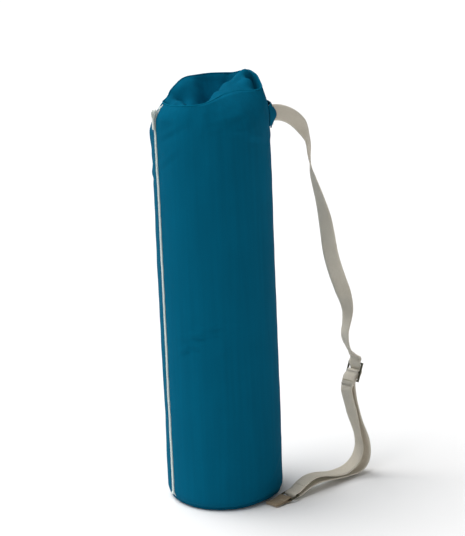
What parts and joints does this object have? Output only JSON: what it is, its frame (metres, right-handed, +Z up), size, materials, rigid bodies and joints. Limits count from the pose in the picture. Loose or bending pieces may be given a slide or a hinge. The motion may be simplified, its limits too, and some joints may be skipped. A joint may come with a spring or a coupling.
{
  "type": "bolster pillow",
  "caption": "Long round bolster in a zip-up canvas carry cover with a slack top, with an adjustable webbing shoulder strap on a ring and a slide",
  "frame": {"origin": "middle of the round bottom, on the floor", "axes": "+Z up along the cover's axis, +X towards the side that the strap hangs on, -Y towards the viewer"},
  "size_m": [0.3202, 0.18, 0.65],
  "materials": {
    "cover_cloth": "matt petrol-blue cotton canvas",
    "liner_cloth": "plain unbleached cotton",
    "filling": "packed cotton fibre",
    "zip_tape": "ivory woven tape",
    "zip_teeth": "ivory nylon coil",
    "zip_metal": "ivory enamel",
    "webbing": "natural cotton webbing, fine diagonal weave",
    "thread": "natural sewing thread",
    "fitting_metal": "dark bronzed steel"
  },
  "bodies": {
    "cover": {"cover_panel": "cover_cloth", "top_end_panel": "cover_cloth", "bottom_end_panel": "cover_cloth", "core_liner": "liner_cloth", "core_fill": "filling", "zip_tape_left": "zip_tape", "zip_tape_right": "zip_tape", "zip_teeth_left": "zip_teeth", "zip_teeth_right": "zip_teeth", "zip_bottom_stop": "zip_teeth", "zip_top_stops": "zip_teeth", "strap_anchor_patch": "cover_cloth", "anchor_bar_tacks": "thread", "strap_upper_run": "webbing", "strap_lower_run": "webbing", "strap_return_run": "webbing", "ring_tab": "webbing", "ring_tab_tack": "thread"},
    "slider": {"zip_slider": "zip_metal"},
    "pull": {"zip_pull": "zip_metal"},
    "ring": {"strap_ring": "fitting_metal"},
    "slide": {"strap_slide": "fitting_metal", "strap_end_fold": "webbing", "strap_end_tack": "thread"}
  },
  "joints": [
    {"name": "zip_slide", "type": "slide", "parent": "cover", "child": "slider", "axis": [0, 0, 1], "range_m": [-0.6, 0], "deforming": ["zip_teeth_left", "zip_teeth_right", "zip_tape_left", "zip_tape_right"]},
    {"name": "pull_swing", "type": "hinge", "parent": "slider", "child": "pull", "pos_m": [-0.08523, -0.03795, 0.629], "axis": [-0.4067, 0.9135, 0], "range_deg": [0, 175]},
    {"name": "ring_swing", "type": "hinge", "parent": "cover", "child": "ring", "pos_m": [0.09225, -0.05393, 0.00498], "axis": [0.6408, -0.7637, 0.0785], "range_deg": [0, 80], "deforming": ["strap_lower_run", "strap_return_run"]},
    {"name": "strap_adjust", "type": "slide", "parent": "cover", "child": "slide", "axis": [-0.2843, -0.331, -0.8998], "range_m": [-0.03, 0.03], "deforming": ["strap_upper_run", "strap_lower_run", "strap_return_run"]}
  ]
}
